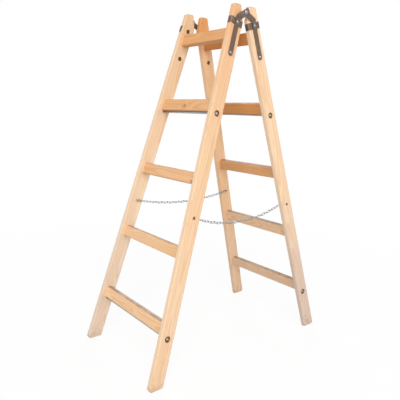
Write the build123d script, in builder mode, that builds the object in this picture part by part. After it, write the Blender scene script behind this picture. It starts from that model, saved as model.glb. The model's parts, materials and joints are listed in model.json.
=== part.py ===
from build123d import *
import os
from math import asin, atan2, cos, degrees, radians, sin, tan

os.makedirs("parts", exist_ok=True)

# A two-sided wooden rung ladder, standing open. Millimetres and degrees.
# X runs along the rungs, the front ladder is at -Y and Z is up.
# The origin is on the floor, in the middle of the four feet.

LEAN = 16.7  # each ladder from the vertical, standing open

# Stiles
BASE_WIDTH = 504.0  # over the outer faces, at the floor
TAPER = 3.87  # each stile towards the other, seen square to the ladder
STILE_WIDTH = 60.0
STILE_THICKNESS = 22.0
STILE_ARRIS = 3.0
TOE_RADIUS = 12.0
TOP_RISE = 28.0  # of the stiles above the hinge pivot
TOP_GAP = 42.0  # between the front and rear stile tops
TOP_CUT = 60.0  # the inner edge is cut back over this height
TOP_RADIUS = 8.0

# Rungs, tenoned into the stiles
RUNG_COUNT = 5
RUNG_STEP = 280.0
LOWEST_RUNG_TOP = 238.0  # up the ladder from the floor
RUNG_HEIGHT = 47.0
RUNG_DEPTH = 26.0
RUNG_ARRIS = 3.0
TENON_CHEEK = 5.0  # the rung stands this far past its tenon in front and behind
TENON_SHOULDER = 7.0  # and this far above and below
TENON_LENGTH = 12.0
GLUE_GAP = 0.1

# Steel tie rods under the lowest rung and the last but one, with nuts sunk in the stiles
ROD_DIAMETER = 8.0
ROD_GAP = 0.2  # under the rung
ROD_WASHER_DIAMETER = 17.0
ROD_WASHER = 1.6
ROD_NUT_FLATS = 13.0
ROD_NUT = 6.0
ROD_END = 1.0  # past the nut
ROD_SINKING_DIAMETER = 23.5

# Nuts and shanks
NUT_COVER = 1.5  # from a sunk nut to the stile's face
BOLT_END = 1.0  # of a strap bolt past its nut
SOCKET_ROOM = 1.25  # round what is sunk
SHANK_GAP = 0.05  # round a bolt, rod or rivet
FACETS = 8  # sides of the small fasteners, which repeat, and of their holes
SINKING_FACETS = 16  # sides of the tie rods' sinkings
NUT_SIDES = 6

# Hinge straps, collars and their bolts
STRAP_WIDTH = 21.0
STRAP_THICKNESS = 3.0
STRAP_STEP = 8.0  # length of the set where a strap steps out
ARM_WIDTHS = {"front": 24.0, "rear": 21.0}  # from the bend to the pivot
ARM_TIP = 17.0  # of a front arm past the pivot, over the round end of a rear one
ARM_TIP_RADIUS = 4.0
PIVOT_RISE = 71.7  # up the ladder from the top rung's top
PIVOT_SHIFT = 6.0  # towards the front ladder, from the middle between the two
CLOSED_GAP = 1.8  # between the collars of the two ladders, folded together
LAP_GAP = 0.3  # between parts that turn on each other
BOLT_RISE = 20.0  # upper strap bolt, up the ladder from the top rung's top
BOLT_SPACING = 118.0
ELBOW_RISE = 20.0  # from the upper bolt to the bend towards the pivot
BOLT_DIAMETER = 6.0
BOLT_HEAD_DIAMETER = 13.0
BOLT_HEAD = 3.0
HEAD_SLOPE = 45.0  # of the rims of the bolt and rivet heads
BOLT_NUT_FLATS = 10.0
BOLT_NUT = 5.0
BOLT_SINKING_DIAMETER = 16.0
COLLAR_HEIGHT = 25.0
COLLAR_THICKNESS = 1.5
COLLAR_REACH = 17.0  # over the stile's edges, from its outer face
COLLAR_CLEAR = 2.0  # between the collar's edge and a bend in the strap
FIT_GAP = 0.1  # between the collar and the stile
RIVET_DIAMETER = 8.0
RIVET_HEAD_DIAMETER = 18.0
RIVET_HEAD = 5.0
RIVET_TAIL_DIAMETER = 13.0
RIVET_TAIL = 3.0
RIVET_WASHER_DIAMETER = 18.0
RIVET_WASHER = 1.5

# Spreader chains and their eye bolts
CHAIN_RUNG = 1  # the chains are above this rung, counted from 0 at the floor
CHAIN_RISE = 114.0  # up the ladder from that rung's top
CHAIN_SAGS = {"left": 29.0, "right": 51.0}
LINK_COUNT = 33  # in each chain, an odd number, so that its two end links stand alike
LINK_LENGTH = 16.1  # inside
LINK_WIDTH = 4.6  # inside
LINK_WIRE = 2.7
WIRE_SIDES = 4  # the links and eyes are bent from square wire, which stands on edge
LOOP_SIDES = 8  # flats that stand for a full turn of that wire
EYE_WIRE = 3.0
EYE_RADIUS = 4.2  # to the middle of its wire
EYE_NECK = 0.5  # between the stile and the eye
EYE_SHANK_DIAMETER = 5.0
EYE_NUT_FLATS = 8.0
EYE_NUT = 4.0

PAST = 20.0  # how far cutting shapes run past what they cut

lean = radians(LEAN)
taper = radians(TAPER)
stile_slice = STILE_THICKNESS / cos(taper)  # along the rungs
tenon_depth = RUNG_DEPTH - 2 * TENON_CHEEK
tenon_height = RUNG_HEIGHT - 2 * TENON_SHOULDER
tied_rungs = {"lower": 0, "upper": RUNG_COUNT - 2}

# Places up the ladder from the floor
top_rung_up = LOWEST_RUNG_TOP + (RUNG_COUNT - 1) * RUNG_STEP
chain_up = LOWEST_RUNG_TOP + CHAIN_RUNG * RUNG_STEP + CHAIN_RISE
bolt_up = top_rung_up + BOLT_RISE
low_bolt_up = bolt_up - BOLT_SPACING
elbow_up = bolt_up + ELBOW_RISE
collar_low = bolt_up - COLLAR_HEIGHT / 2
collar_high = bolt_up + COLLAR_HEIGHT / 2
bend_up = collar_high + COLLAR_CLEAR
middle_up = top_rung_up + PIVOT_RISE

# The ladders' mid-plane is off the stiles' inner edges at the pivot's height
# That and the lean set how far apart the feet are
collar_face = FIT_GAP + COLLAR_THICKNESS  # its outside, off the stile
middle_out = -STILE_WIDTH / 2 - collar_face - CLOSED_GAP / 2
foot_reach = middle_up * sin(lean) - middle_out * cos(lean)
pivot_height = middle_up * cos(lean) + middle_out * sin(lean)
top_height = pivot_height + TOP_RISE

# Depths of the sinkings, and holes
rod_sink = ROD_WASHER + ROD_NUT + NUT_COVER
bolt_sink = BOLT_NUT + NUT_COVER
eye_sink = EYE_NUT + NUT_COVER
eye_nut_corners = EYE_NUT_FLATS / cos(radians(180 / NUT_SIDES))
rod_hole = ROD_DIAMETER + 2 * SHANK_GAP
bolt_hole = BOLT_DIAMETER + 2 * SHANK_GAP
rivet_hole = RIVET_DIAMETER + 2 * SHANK_GAP
eye_hole = EYE_SHANK_DIAMETER + 2 * SHANK_GAP

# Each ladder has a plane: x along its rungs, y up the ladder from the floor, z outwards
LADDERS = {
    "front": Plane((0, -foot_reach, 0), (1, 0, 0), (0, -cos(lean), sin(lean))),
    "rear": Plane((0, foot_reach, 0), (-1, 0, 0), (0, cos(lean), sin(lean))),
}
# Left and right as seen from the front, as the sign of x in each ladder's plane
SIDES = {
    "front": {"left": -1, "right": 1},
    "rear": {"left": 1, "right": -1},
}


def outer_x(up):
    """From the ladder's middle to a stile's outer face."""
    return BASE_WIDTH / 2 - up * tan(taper)


def inner_x(up):
    """From the ladder's middle to a stile's inner face."""
    return outer_x(up) - stile_slice


def rung_middle(number):
    return LOWEST_RUNG_TOP + number * RUNG_STEP - RUNG_HEIGHT / 2


def rod_up(number):
    return rung_middle(number) - RUNG_HEIGHT / 2 - ROD_GAP - ROD_DIAMETER / 2


def up_at(height, out):
    """Up the ladder to a height above the floor, at a distance out from the ladder's plane."""
    return (height - out * sin(lean)) / cos(lean)


def in_profile(reach, height):
    """A point of the side view, from the ladders' mid-plane and the floor, as out and up of a ladder."""
    out = (reach - foot_reach) * cos(lean) + height * sin(lean)
    up = (foot_reach - reach) * sin(lean) + height * cos(lean)
    return (out, up)


# The pivot as out and up of each ladder
PIVOTS = {
    "front": in_profile(PIVOT_SHIFT, pivot_height),
    "rear": in_profile(-PIVOT_SHIFT, pivot_height),
}

# Across the rungs' direction, from the ladder's middle: the lapped strap arms and the chains
rear_arm_x = outer_x(bend_up) + collar_face / cos(taper)
front_arm_x = rear_arm_x + STRAP_THICKNESS + LAP_GAP
chain_x = inner_x(chain_up) - EYE_NECK - EYE_RADIUS - EYE_WIRE / 2


def at(ladder, x, up, out=0.0):
    return ladder.from_local_coords((x, up, out))


def profile_plane(ladder):
    """The side view: x out of the ladder's plane, y up the ladder."""
    return Plane(ladder.origin, ladder.z_dir, -ladder.x_dir)


def cross_plane(ladder, x, up, facing, out=0.0):
    """Square to the rungs: x out of the ladder's plane, z along the rungs."""
    return Plane(at(ladder, x, up, out), ladder.z_dir, ladder.x_dir * facing)


def face_plane(ladder, side, up, off=0.0):
    """On a stile's outer face or off it, with z square to the face."""
    outward = ladder.x_dir * (side * cos(taper)) + ladder.y_dir * sin(taper)
    return Plane(at(ladder, side * outer_x(up), up) + outward * off, ladder.z_dir, outward)


def section_plane(ladder, side, up):
    """Across a stile at its middle: x out of the ladder's plane, z up the stile."""
    along = ladder.x_dir * (-side * sin(taper)) + ladder.y_dir * cos(taper)
    return Plane(at(ladder, side * (outer_x(up) - stile_slice / 2), up), ladder.z_dir, along)


def bore(seat, diameter, depth):
    """A round hole into the seat, or out of it where the depth is below 0."""
    with BuildSketch(seat) as hole:
        Circle(diameter / 2)
    extrude(hole.sketch, amount=-depth, mode=Mode.SUBTRACT)


def facet_bore(seat, flats, depth, sides=FACETS):
    """The same with flats in place of a round wall."""
    with BuildSketch(seat) as hole:
        RegularPolygon(flats / 2, sides, major_radius=False)
    extrude(hole.sketch, amount=-depth, mode=Mode.SUBTRACT)


def facet_bar(seat, flats, length):
    """A bar with flats, up from the seat, or down into it where the length is below 0."""
    with BuildSketch(seat) as section:
        RegularPolygon(flats / 2, FACETS, major_radius=False)
    extrude(section.sketch, amount=length)


def button_head(seat, diameter, height):
    """A low head with a sloping rim, on the seat."""
    with BuildSketch(seat) as rim:
        RegularPolygon(diameter / 2, FACETS, major_radius=False)
    extrude(rim.sketch, amount=height, taper=HEAD_SLOPE)


def hex_nut(seat, flats, thickness, hole):
    with BuildSketch(seat) as section:
        RegularPolygon(flats / 2, NUT_SIDES, major_radius=False)
        RegularPolygon(hole / 2, FACETS, major_radius=False, mode=Mode.SUBTRACT)
    extrude(section.sketch, amount=thickness)


def washer(seat, diameter, thickness, hole):
    with BuildSketch(seat) as section:
        RegularPolygon(diameter / 2, FACETS)
        RegularPolygon(hole / 2, FACETS, major_radius=False, mode=Mode.SUBTRACT)
    extrude(section.sketch, amount=thickness)


def rod_seats(ladder, side):
    """Where the tie rods' washers sit in a stile, facing out."""
    ups = [rod_up(number) for number in tied_rungs.values()]
    return [cross_plane(ladder, side * (outer_x(up) - rod_sink), up, side) for up in ups]


def strap_nut_seats(ladder, side):
    """Where the strap bolts' nuts sit in a stile, facing in."""
    depth = STILE_THICKNESS - bolt_sink
    planes = [face_plane(ladder, side, up, -depth) for up in (bolt_up, low_bolt_up)]
    return [Plane(plane.origin, plane.x_dir, -plane.z_dir) for plane in planes]


def eye_nut_seat(ladder, side):
    """Where the eye bolt's nut sits in a stile, facing out."""
    return cross_plane(ladder, side * (outer_x(chain_up) - eye_sink), chain_up, side)


def turn_corners(radius, sweep_angle):
    """Corners of flats round a bend of this radius, the same to each side of x."""
    step = 360 / LOOP_SIDES
    corner = radius / cos(radians(step / 2))
    count = round(sweep_angle / step)
    angles = [radians((number - (count - 1) / 2) * step) for number in range(count)]
    return [(corner * cos(angle), corner * sin(angle)) for angle in angles]


def finish(name, builder):
    builder.part.label = name
    export_step(builder.part, f"parts/{name}.step")


# Stiles: boards tapered together, cut level at the floor and cut back at the top
def stile(name, ladder, side):
    half = STILE_WIDTH / 2
    toe = (half, up_at(0, half))
    heel = (-half, up_at(0, -half))
    shoulder = (-half, up_at(top_height - TOP_CUT, -half))
    top_inside = in_profile(TOP_GAP / 2, top_height)
    top_outside = (half, up_at(top_height, half))
    low = -STILE_WIDTH
    high = up_at(top_height, 0) + STILE_WIDTH
    with BuildPart() as board:
        with BuildSketch(ladder):
            with BuildLine():
                Polyline(
                    (side * outer_x(low), low),
                    (side * outer_x(high), high),
                    (side * inner_x(high), high),
                    (side * inner_x(low), low),
                    close=True,
                )
            make_face()
        extrude(amount=STILE_WIDTH, both=True)
        with BuildSketch(profile_plane(ladder)) as outline:
            with BuildLine():
                Polyline(toe, top_outside, top_inside, shoulder, heel, close=True)
            make_face()
            for corner, radius in (
                (toe, TOE_RADIUS),
                (top_inside, TOP_RADIUS),
                (top_outside, TOP_RADIUS),
            ):
                fillet(outline.vertices().sort_by_distance(corner)[0], radius)
        extrude(amount=BASE_WIDTH, both=True, mode=Mode.INTERSECT)
        outward = face_plane(ladder, side, 0).z_dir
        broad = board.faces().filter_by(lambda face: abs(face.normal_at().dot(outward)) > cos(taper / 2))
        chamfer(broad.edges(), STILE_ARRIS)
        # Mortises for the rungs
        for number in range(RUNG_COUNT):
            up = rung_middle(number)
            floor = inner_x(up) + TENON_LENGTH + GLUE_GAP
            with BuildSketch(cross_plane(ladder, side * floor, up, -side)):
                Rectangle(tenon_depth + 2 * GLUE_GAP, tenon_height + 2 * GLUE_GAP)
            extrude(amount=TENON_LENGTH + PAST, mode=Mode.SUBTRACT)
        # Holes and sinkings for the tie rods, eye bolt and strap bolts
        for seat in rod_seats(ladder, side):
            facet_bore(seat, rod_hole, STILE_THICKNESS + PAST)
            facet_bore(seat, ROD_SINKING_DIAMETER, -PAST, SINKING_FACETS)
        seat = eye_nut_seat(ladder, side)
        facet_bore(seat, eye_hole, STILE_THICKNESS + PAST)
        facet_bore(seat, eye_nut_corners + 2 * SOCKET_ROOM, -PAST)
        for seat in strap_nut_seats(ladder, side):
            facet_bore(seat, bolt_hole, STILE_THICKNESS + PAST)
            facet_bore(seat, BOLT_SINKING_DIAMETER, -PAST)
    finish(name, board)


# Rungs: rounded bars whose shoulders follow the stiles, with a tenon at each end
def rung(name, ladder, number):
    up = rung_middle(number)
    middle = cross_plane(ladder, 0, up, 1)
    with BuildPart() as bar:
        with BuildSketch(middle):
            section = Rectangle(RUNG_DEPTH, RUNG_HEIGHT)
            chamfer(section.vertices(), RUNG_ARRIS)
        extrude(amount=BASE_WIDTH, both=True)
        for side in (-1, 1):
            split(bisect_by=face_plane(ladder, side, up, -STILE_THICKNESS), keep=Keep.BOTTOM)
        with BuildSketch(middle):
            Rectangle(tenon_depth, tenon_height)
        extrude(amount=inner_x(up) + TENON_LENGTH, both=True)
    finish(name, bar)


# Tie rods with a washer and a nut sunk in each stile
def tie_rod(name, ladder, number):
    up = rod_up(number)
    with BuildPart() as rod:
        with BuildSketch(cross_plane(ladder, 0, up, 1)):
            Circle(ROD_DIAMETER / 2)
        extrude(amount=outer_x(up) - NUT_COVER + ROD_END, both=True)
    finish(name, rod)


def tie_rod_fasteners(prefix, ladder):
    seats = [seat for side in (-1, 1) for seat in rod_seats(ladder, side)]
    with BuildPart() as washers:
        for seat in seats:
            washer(seat, ROD_WASHER_DIAMETER, ROD_WASHER, rod_hole)
    finish(f"{prefix}_tie_rod_washers", washers)
    with BuildPart() as nuts:
        for seat in seats:
            hex_nut(seat.offset(ROD_WASHER), ROD_NUT_FLATS, ROD_NUT, rod_hole)
    finish(f"{prefix}_tie_rod_nuts", nuts)


# Hinge straps: flat bar along the stile and over its collar, with an arm to the pivot
# The front straps' arms are set out further, to lap over the rear ones
def hinge_strap(name, prefix, side):
    ladder = LADDERS[prefix]
    pivot_out, pivot_up = PIVOTS[prefix]
    arm_x = front_arm_x if prefix == "front" else rear_arm_x
    arm_width = ARM_WIDTHS[prefix]
    step_up = collar_low - COLLAR_CLEAR
    bottom = low_bolt_up - STRAP_WIDTH
    top = pivot_up + arm_width + ARM_TIP
    over = collar_face / cos(taper)
    inside = [
        (outer_x(bottom), bottom),
        (outer_x(step_up - STRAP_STEP), step_up - STRAP_STEP),
        (outer_x(step_up) + over, step_up),
        (outer_x(bend_up) + over, bend_up),
        (arm_x, bend_up + STRAP_STEP),
        (arm_x, top),
    ]
    outside = [(x + STRAP_THICKNESS / cos(taper), up) for x, up in inside[:-2]]
    outside += [(x + STRAP_THICKNESS, up) for x, up in inside[-2:]]
    band = [(side * x, up) for x, up in inside + outside[::-1]]
    pivot = Vector(pivot_out, pivot_up)
    elbow = Vector(0, elbow_up)
    arm = pivot - elbow
    arm_turn = (0, 0, degrees(atan2(arm.Y, arm.X)))
    with BuildPart() as strap:
        with BuildSketch(profile_plane(ladder)):
            with Locations((0, (low_bolt_up + elbow_up) / 2)):
                SlotCenterToCenter(elbow_up - low_bolt_up, STRAP_WIDTH, rotation=90)
            with Locations(Location((elbow + pivot) / 2, arm_turn)):
                SlotCenterToCenter(arm.length, arm_width)
            if prefix == "front":
                with Locations(Location(pivot, arm_turn)):
                    RectangleRounded(2 * ARM_TIP, arm_width, ARM_TIP_RADIUS)
        extrude(amount=BASE_WIDTH, both=True)
        with BuildSketch(ladder):
            with BuildLine():
                Polyline(*band, close=True)
            make_face()
        extrude(amount=2 * STILE_WIDTH, both=True, mode=Mode.INTERSECT)
        for up in (bolt_up, low_bolt_up):
            facet_bore(face_plane(ladder, side, up, PAST), bolt_hole, 2 * PAST)
        outside_pivot = cross_plane(ladder, side * (arm_x + PAST), pivot_up, side, pivot_out)
        bore(outside_pivot, rivet_hole, 2 * PAST)
    finish(name, strap)


# Collars: a band bent round a stile's outer face and both edges, held by the upper strap bolt
def collar(name, ladder, side):
    kept = COLLAR_REACH + collar_face
    with BuildPart() as clip:
        with BuildSketch(section_plane(ladder, side, bolt_up)):
            with BuildSketch(mode=Mode.PRIVATE) as board:
                Rectangle(STILE_WIDTH, STILE_THICKNESS)
                chamfer(board.vertices(), STILE_ARRIS)
            offset(board.sketch_local, collar_face, kind=Kind.INTERSECTION, mode=Mode.ADD)
            offset(board.sketch_local, FIT_GAP, kind=Kind.INTERSECTION, mode=Mode.SUBTRACT)
            with Locations((0, side * (STILE_THICKNESS / 2 + collar_face - kept / 2))):
                Rectangle(2 * STILE_WIDTH, kept, mode=Mode.INTERSECT)
        extrude(amount=COLLAR_HEIGHT / 2, both=True)
        outside_bolt = face_plane(ladder, side, bolt_up, PAST)
        facet_bore(outside_bolt, bolt_hole, PAST + STILE_THICKNESS / 2)
    finish(name, clip)


def strap_fasteners(prefix, ladder):
    with BuildPart() as bolts:
        for side in (-1, 1):
            for up, under in ((bolt_up, collar_face), (low_bolt_up, 0)):
                seat_off = under + STRAP_THICKNESS
                length = seat_off + STILE_THICKNESS - NUT_COVER + BOLT_END
                seat = face_plane(ladder, side, up, seat_off)
                facet_bar(seat, BOLT_DIAMETER, -length)
                button_head(seat, BOLT_HEAD_DIAMETER, BOLT_HEAD)
    finish(f"{prefix}_strap_bolts", bolts)
    with BuildPart() as nuts:
        for side in (-1, 1):
            for seat in strap_nut_seats(ladder, side):
                hex_nut(seat, BOLT_NUT_FLATS, BOLT_NUT, bolt_hole)
    finish(f"{prefix}_strap_nuts", nuts)


# Pivot rivets: a head outside the front strap, a washer and an upset tail inside the rear one
def pivot_seats():
    """Where the rivets' heads sit on the front straps, facing out."""
    x = front_arm_x + STRAP_THICKNESS
    out, up = PIVOTS["front"]
    return [cross_plane(LADDERS["front"], side * x, up, side, out) for side in (-1, 1)]


lap = 2 * STRAP_THICKNESS + 2 * LAP_GAP
with BuildPart() as pivot_rivets:
    for seat in pivot_seats():
        with BuildSketch(seat):
            Circle(RIVET_DIAMETER / 2)
        extrude(amount=-lap - RIVET_WASHER)
        button_head(seat, RIVET_HEAD_DIAMETER, RIVET_HEAD)
        facet_bar(seat.offset(-lap - RIVET_WASHER), RIVET_TAIL_DIAMETER, -RIVET_TAIL)
finish("pivot_rivets", pivot_rivets)

with BuildPart() as pivot_washers:
    for seat in pivot_seats():
        washer(seat.offset(-lap - RIVET_WASHER), RIVET_WASHER_DIAMETER, RIVET_WASHER, rivet_hole)
finish("pivot_washers", pivot_washers)


# Eye bolts for the chains, with nuts sunk in the stiles' outer faces
def eye_fasteners(prefix, ladder):
    with BuildPart() as eyes:
        for side in (-1, 1):
            start = chain_x + EYE_RADIUS
            seat = cross_plane(ladder, side * start, chain_up, side)
            facet_bar(seat, EYE_SHANK_DIAMETER, outer_x(chain_up) - NUT_COVER - start)
            middle = at(ladder, side * chain_x, chain_up)
            with BuildLine(Plane(middle, ladder.z_dir, ladder.y_dir)) as turn:
                Polyline(*turn_corners(EYE_RADIUS, 360), close=True)
            with BuildSketch(Plane(turn.line @ 0, ladder.y_dir, turn.line % 0)):
                RegularPolygon(EYE_WIRE / 2, WIRE_SIDES)
            sweep(path=turn.line, transition=Transition.RIGHT)
    finish(f"{prefix}_eye_bolts", eyes)
    with BuildPart() as nuts:
        for side in (-1, 1):
            hex_nut(eye_nut_seat(ladder, side), EYE_NUT_FLATS, EYE_NUT, eye_hole)
    finish(f"{prefix}_eye_nuts", nuts)


# One chain link, laid out along x
bend_radius = (LINK_WIDTH + LINK_WIRE) / 2
bend_centre = (LINK_LENGTH - LINK_WIDTH) / 2
with BuildPart() as link:
    with BuildLine() as loop:
        right_end = [(x + bend_centre, y) for x, y in turn_corners(bend_radius, 180)]
        left_end = [(-x, -y) for x, y in right_end]
        Polyline(*right_end, *left_end, close=True)
    with BuildSketch(Plane(loop.line @ 0, (0, 0, 1), loop.line % 0)):
        RegularPolygon(LINK_WIRE / 2, WIRE_SIDES)
    sweep(path=loop.line, transition=Transition.RIGHT)


# Spreader chains: interlocked links on a shallow arc from eye to eye, every second link turned on edge
def chain(name, side, sag):
    hook = at(LADDERS["front"], side * chain_x, chain_up, EYE_WIRE / 2 - EYE_RADIUS)
    radius = (hook.Y**2 + sag**2) / (2 * sag)  # of the arc on which the links hold each other
    turn = asin(-hook.Y / radius) / LINK_COUNT  # half the angle from link to link
    to_middle = radius * cos(turn)
    places = []
    for number in range(LINK_COUNT):
        angle = (2 * number + 1 - LINK_COUNT) * turn
        origin = (hook.X, to_middle * sin(angle), hook.Z - sag + radius - to_middle * cos(angle))
        upright = (1, 0, 0)
        flat = (0, -sin(angle), cos(angle))
        places.append(Plane(origin, (0, cos(angle), sin(angle)), flat if number % 2 else upright))
    print(f"{name}: each link has {LINK_LENGTH - 2 * radius * sin(turn):.2f} mm of play")
    with BuildPart() as links:
        with Locations(*places):
            add(link.part)
    finish(name, links)


for prefix, ladder in LADDERS.items():
    for hand, side in SIDES[prefix].items():
        stile(f"{prefix}_{hand}_stile", ladder, side)
        collar(f"{prefix}_{hand}_collar", ladder, side)
        hinge_strap(f"{prefix}_{hand}_hinge_strap", prefix, side)
    for number in range(RUNG_COUNT):
        rung(f"{prefix}_rung_{number + 1}", ladder, number)
    for level, number in tied_rungs.items():
        tie_rod(f"{prefix}_{level}_tie_rod", ladder, number)
    tie_rod_fasteners(prefix, ladder)
    strap_fasteners(prefix, ladder)
    eye_fasteners(prefix, ladder)
for hand, side in SIDES["front"].items():
    chain(f"{hand}_chain", side, CHAIN_SAGS[hand])
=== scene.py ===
import json
import random
from functools import partial
from math import cos, pi, radians, sin, tan

import bmesh
import bpy
from mathutils import Matrix, Vector

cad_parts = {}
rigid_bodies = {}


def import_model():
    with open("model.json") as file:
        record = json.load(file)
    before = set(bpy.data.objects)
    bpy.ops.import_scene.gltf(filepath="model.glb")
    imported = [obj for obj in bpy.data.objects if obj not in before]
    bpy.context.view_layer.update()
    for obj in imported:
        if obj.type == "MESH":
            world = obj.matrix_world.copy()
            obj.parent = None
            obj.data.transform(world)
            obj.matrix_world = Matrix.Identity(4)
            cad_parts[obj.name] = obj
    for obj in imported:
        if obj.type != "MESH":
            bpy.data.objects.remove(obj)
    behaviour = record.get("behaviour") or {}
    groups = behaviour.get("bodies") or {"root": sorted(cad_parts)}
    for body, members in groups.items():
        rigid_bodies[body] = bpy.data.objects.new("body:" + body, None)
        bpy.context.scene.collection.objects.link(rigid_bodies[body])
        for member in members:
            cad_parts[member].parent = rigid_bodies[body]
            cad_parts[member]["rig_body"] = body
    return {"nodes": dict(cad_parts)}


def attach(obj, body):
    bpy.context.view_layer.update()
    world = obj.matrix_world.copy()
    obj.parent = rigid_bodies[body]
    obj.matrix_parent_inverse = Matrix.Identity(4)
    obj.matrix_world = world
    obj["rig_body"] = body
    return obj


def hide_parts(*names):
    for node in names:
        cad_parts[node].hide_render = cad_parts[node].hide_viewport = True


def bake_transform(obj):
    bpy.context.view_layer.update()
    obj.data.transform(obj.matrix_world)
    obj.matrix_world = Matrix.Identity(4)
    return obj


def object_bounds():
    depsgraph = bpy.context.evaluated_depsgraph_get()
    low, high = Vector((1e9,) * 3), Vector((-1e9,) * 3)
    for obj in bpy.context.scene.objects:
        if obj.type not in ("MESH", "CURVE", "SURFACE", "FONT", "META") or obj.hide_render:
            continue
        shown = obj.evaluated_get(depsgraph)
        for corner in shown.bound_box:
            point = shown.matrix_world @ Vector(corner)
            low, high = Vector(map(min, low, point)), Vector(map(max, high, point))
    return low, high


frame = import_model()
cad_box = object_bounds()

# A two-sided wooden rung ladder with steel fittings. Metres, in the frame of the solids.

MM = 0.001
LADDERS = ("front", "rear")
HANDS = {"left": -1, "right": 1}

# Camera, found from the ladder's own edges in the photograph
PHOTO_SIDE = 400  # pixels
FOCAL_LENGTH = 442.56  # pixels
SENSOR = 36.0  # millimetres
CAMERA_PLACE = Vector((1.42819, -1.25181, 0.97861))
CAMERA_YAW = radians(-50.18)
CAMERA_PITCH = radians(-10.97)
CAMERA_ROLL = radians(2.083)

# Meshes
WELD = 0.001 * MM  # corners nearer than this are one
FLAT = radians(0.3)
CREASE = radians(38)
CHAMFERS = (30, 60)  # degrees by which the faces turn at a board's chamfers
CORNERS = (62, 120)  # at square corners
BENDS = (8, 60)  # and where flat steel is bent
ARRIS = 2.0 * MM  # the chamfers of the boards are rounded by this much each way
ARRIS_STEPS = 3
RIM = 0.4 * MM  # the same for holes and shoulders in the boards
STEEL_RIM = 0.5 * MM
RIM_STEPS = 2
STEEL_BEND = 1.6 * MM
COLLAR_BEND = 2.2 * MM
BEND_STEPS = 4
ROUND = 0.5  # the profile of a rounded edge
PARALLEL = 0.95  # cosine: an edge runs along a direction from this on
SQUARE = 0.1  # cosine: the normals of a hole's walls have less than this to its axis
SLANT = 0.5  # cosine: the edges round a hole have less than this to its axis
RADIUS_DIGITS = 5  # radii that agree so far are one
SINKING_CUTS = 4
SINKING_REACH = 13 * MM  # from the axis of a nut to the walls of its sinking
TURNED_SIDES = 40
WIRE_SIDES = 12
DOME_STEPS = 10
AXIS_HOLE = 0.001 * MM  # turned forms start this far from their axis
AXIS_WELD = 0.01 * MM  # and close on it within this
SEED = 7
LOG_NUMBERS = 9  # each board has a number below this, which makes its grain its own

# Fasteners, as the round forms that the flats of the solids stand for
BOLT_RISE = 3 * MM
BOLT_SHANK = 6 * MM
BOLT_THREAD = 12 * MM
BOLT_NUT_HOLE = 6.2 * MM
ROD_WIDTH = 8 * MM
ROD_THREAD = 16 * MM  # along each end
ROD_NUT_HOLE = 8.2 * MM
ROD_WASHER_HOLE = 8.4 * MM
EYE_WIDTH = 8.4 * MM  # between the middles of its wire
EYE_WIRE = 3.0 * MM
EYE_SHANK = 5 * MM
EYE_NUT_HOLE = 5.2 * MM
RIVET_HEAD = 18 * MM
RIVET_RISE = 5 * MM
RIVET_SHANK = 8 * MM
RIVET_TAIL = 13 * MM
RIVET_UPSET = 3 * MM
RIVET_WASHER_HOLE = 8.2 * MM
SOLID_SIDES = 8  # of the small solids that stand for round ones
NUT_SIDES = 6
NUT_CHAMFER = radians(30)
NUT_FACE = 0.95  # a nut's round end face, as a share of its width across flats
NUT_CLEAR = 1.02  # how far its chamfers run, as a share of its corners' radius
NUT_BLANK = 1.2  # the prism that it is cut from, as a share of its height
NUT_DRILL = 3.0  # and what drills it
THREAD_DEPTH = 0.12  # as a share of the shank's radius
THREAD_PITCH = 0.16  # as a share of its diameter
TIP_EASE = 0.25  # the chamfer at a bolt's tip, as a share of its radius
ROD_EASE = 0.22
WASHER_EASE = 0.22  # as a share of its thickness
TAIL_WALL = 0.4  # a rivet's tail is straight for this share of its height
TAIL_CROWN = 0.7  # then narrows to this share of its width
TAIL_TIP = 0.1  # and ends in a low cone, of this share of its height

# Chain links
LINK_BEND_STEPS = 5
LINK_WOBBLE = 0.14  # how far a link leans from square to its neighbour
LINK_LIE = radians(45)  # the links of a hanging chain settle on edge, away from the eyes
LINK_TWIST = 6  # links that it takes to turn so far
LINK_TILT = radians(13)  # slack links lie in a slight zigzag
LINK_SLIM = 0.3 * MM  # round wire is thinner than the square wire that stands for it

# Light. Lamps stand far off, so that the near and the far ladder are lit alike. Turn is from +X towards +Y.
LAMP_DISTANCE = 12.0
LAMPS = {
    "key": {"turn": radians(-32), "rise": radians(41), "size": 6.5, "power": 690.0},
    "fill": {"turn": radians(-53), "rise": radians(12), "size": 4.8, "power": 470.0},
    "side": {"turn": radians(18), "rise": radians(12), "size": 4.8, "power": 205.0},
    "back": {"turn": radians(140), "rise": radians(22), "size": 6.5, "power": 560.0},
}
SKY = 0.435
FLOOR_SIZE = 14.0
FLOOR_GLOW = 0.90  # how far the floor is lifted to the white of the background
FLOOR_FADE = (0.8, 3.0)  # from the middle, where it goes over into that white
FLOOR_SEEN = (0.95, 0.95, 0.95)
FLOOR_BOUNCE = (0.5, 0.5, 0.5)
WHITE = (1.0, 1.0, 1.0)

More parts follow.
